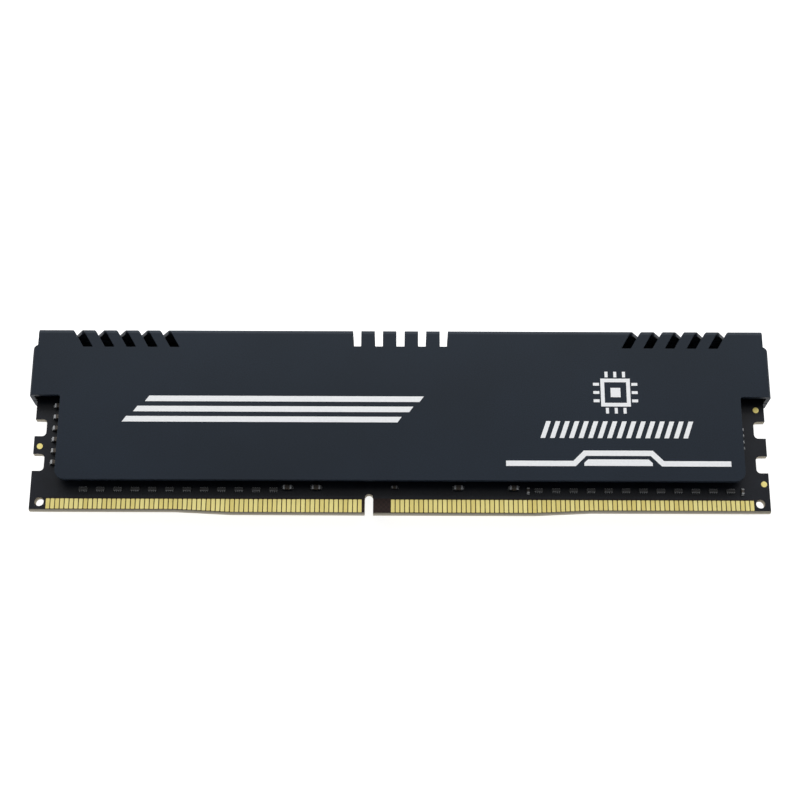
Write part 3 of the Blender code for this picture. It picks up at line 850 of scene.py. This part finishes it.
# %% Capacitors around the chips
ABOVE_CHIP, BELOW_CHIP = 1.3 * MM, 1.2 * MM
STEPS_ABOVE = (-2.2 * MM, 0.0, 2.2 * MM)
STEPS_BELOW = (-1.8 * MM, 1.8 * MM)
boxes = [drawn_box(f"memory_chip_front_{i + 1}", FRONT) for i in range(CHIPS_ON_A_FACE)]
low, high = boxes[0]
chip_middles = [x for x, y, turn in places_of(boxes)]
around = [(step, high.y + ABOVE_CHIP, 90) for step in STEPS_ABOVE]
around += [(step, low.y - BELOW_CHIP, 0) for step in STEPS_BELOW]
places = [(x + step, y, turn) for x in chip_middles for step, y, turn in around]
for side_name, side in (("front", FRONT), ("back", BACK)):
    keep(repeat(capacitor(*SMALL_CAPACITOR), places), f"supply_capacitors_{side_name}",
         [ceramic, solder], side)
places = [(x, ROW_HEIGHT, 90) for x in [-m for m in chip_middles] + [0.0]]
keep(repeat(capacitor(*SMALL_CAPACITOR), places), "back_row_capacitors", [ceramic, solder], BACK)

# %% [markdown]
# ## Floor and light
#
# The module lies on a white light table: a floor that glows softly, so that the shadow around the
# module stays faint. A long soft light beyond the top edge gives the plates their slow fade and
# leaves the space under their lower edge dark. A lamp overhead could fill the rest, but it would
# turn every black surface grey. So the sky does it: dim overhead, white near the horizon, and
# brighter beyond the top edge, which is the part that the flat gold contacts mirror.

# %% Floor
FLOOR_HALF = 2.0
FLOOR_GAP = 0.02 * MM
PAPER_TOOTH = 0.5 * MM
table, place = new_material("white_light_table", Roughness=0.9, Emission_Strength=0.9)
tooth = add_node(table, "ShaderNodeTexNoise", {"Vector": place, "Scale": 1 / PAPER_TOOTH})
tint = add_node(table, "ShaderNodeValToRGB", {"Fac": tooth.outputs["Fac"]},
                stops=[(0.3, "#bebebe"), (0.7, "#c2c2c2")])
feed(table, Base_Color=tint.outputs["Color"])
table.node_tree.nodes["Principled BSDF"].inputs["Emission Color"].default_value = linear("#ffffff")
bm = bmesh.new()
bmesh.ops.create_grid(bm, x_segments=1, y_segments=1, size=FLOOR_HALF)
bmesh.ops.translate(bm, verts=bm.verts[:], vec=(0, 0, -FLOOR_GAP))
floor_mesh = bpy.data.meshes.new("floor")
bm.to_mesh(floor_mesh)
bm.free()
floor_mesh.materials.append(table)
floor = bpy.data.objects.new("floor", floor_mesh)
bpy.context.scene.collection.objects.link(floor)
floor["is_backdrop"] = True

# %% Light
LIGHT_PLACE = Vector((0.0, 0.36, 0.34))
LIGHT_SIZE = (0.8, 0.2)
LIGHT_WATTS = 2.0
light_data = bpy.data.lights.new("long_light_beyond_top_edge", "AREA")
light_data.shape = "RECTANGLE"
light_data.size, light_data.size_y = LIGHT_SIZE
light_data.energy = LIGHT_WATTS
light = bpy.data.objects.new("long_light_beyond_top_edge", light_data)
bpy.context.scene.collection.objects.link(light)
light.location = LIGHT_PLACE
light.rotation_euler = (-LIGHT_PLACE).to_track_quat("-Z", "Y").to_euler()
print("light:", light.name, light_data.energy, "W")

# %% Sky
SKY_STRENGTH = 1.1
HORIZON_ENDS = (0.05, 0.25)  # how high the white horizon starts to fade, and where it is gone
world = bpy.data.worlds.new("studio")
world.use_nodes = True
direction = add_node(world, "ShaderNodeTexCoord").outputs["Generated"]
towards = add_node(world, "ShaderNodeSeparateXYZ", {"Vector": direction})
beyond = add_node(world, "ShaderNodeValToRGB", {"Fac": towards.outputs["Y"]},
                  stops=[(0.1, "#5e6063"), (0.5, "#ffffff")])
height = add_node(world, "ShaderNodeMapRange",
                  {"Value": towards.outputs["Z"], "From Min": HORIZON_ENDS[0],
                   "From Max": HORIZON_ENDS[1]})
sky = add_node(world, "ShaderNodeMix",
               {0: height.outputs["Result"], 6: linear("#ffffff"), 7: beyond.outputs["Color"]},
               data_type="RGBA")
background = world.node_tree.nodes["Background"]
background.inputs["Strength"].default_value = SKY_STRENGTH
world.node_tree.links.new(sky.outputs[2], background.inputs["Color"])
bpy.context.scene.world = world
bpy.context.scene.view_settings.view_transform = "Standard"

# %% [markdown]
# ## Sizes
#
# The box of the finished module is written beside the box of the solid parts, so that the two can
# be compared. Nothing stands outside the solid parts' box but the ink, by its 0.02 mm.

# %% Write both boxes and finish
visual_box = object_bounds()
for title, box in (("solid parts", cad_box), ("finished module", visual_box)):
    print(title, "in mm:", [round(1000 * v, 2) for corner in box for v in corner])
